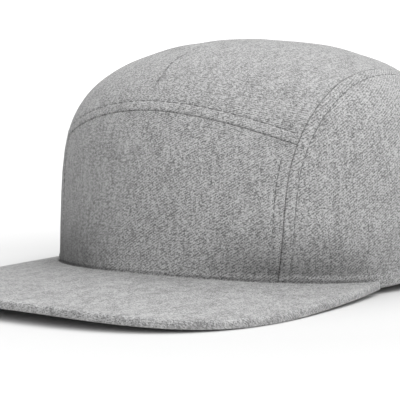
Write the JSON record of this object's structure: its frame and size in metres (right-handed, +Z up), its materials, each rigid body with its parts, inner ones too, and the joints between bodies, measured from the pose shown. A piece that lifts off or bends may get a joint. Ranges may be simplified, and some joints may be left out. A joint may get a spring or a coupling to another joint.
{
  "type": "five panel cap",
  "caption": "Flat-visored cap with a boxy crown of sewn panels, a half-moon back opening and a strap with a plain buckle, for sun and everyday wear.",
  "frame": {"origin": "on the surface that the cap stands on, under the middle of its overall length and width", "axes": "+Z up out of the top of the crown, -Y out of the front of the visor, +X to the wearer's left"},
  "size_m": [0.1724, 0.2752, 0.1087],
  "materials": {
    "crown_cloth": "heathered grey twill, matte",
    "visor_cloth": "heathered grey twill over a stiff board, matte",
    "strap_webbing": "folded grey cloth strap, matte",
    "buckle_metal": "dull grey metal"
  },
  "bodies": {
    "root": {"front_panel": "crown_cloth", "top_panel": "crown_cloth", "back_panel": "crown_cloth", "side_panel_left": "crown_cloth", "side_panel_right": "crown_cloth", "visor": "visor_cloth", "back_strap": "strap_webbing", "strap_buckle": "buckle_metal"}
  },
  "joints": []
}
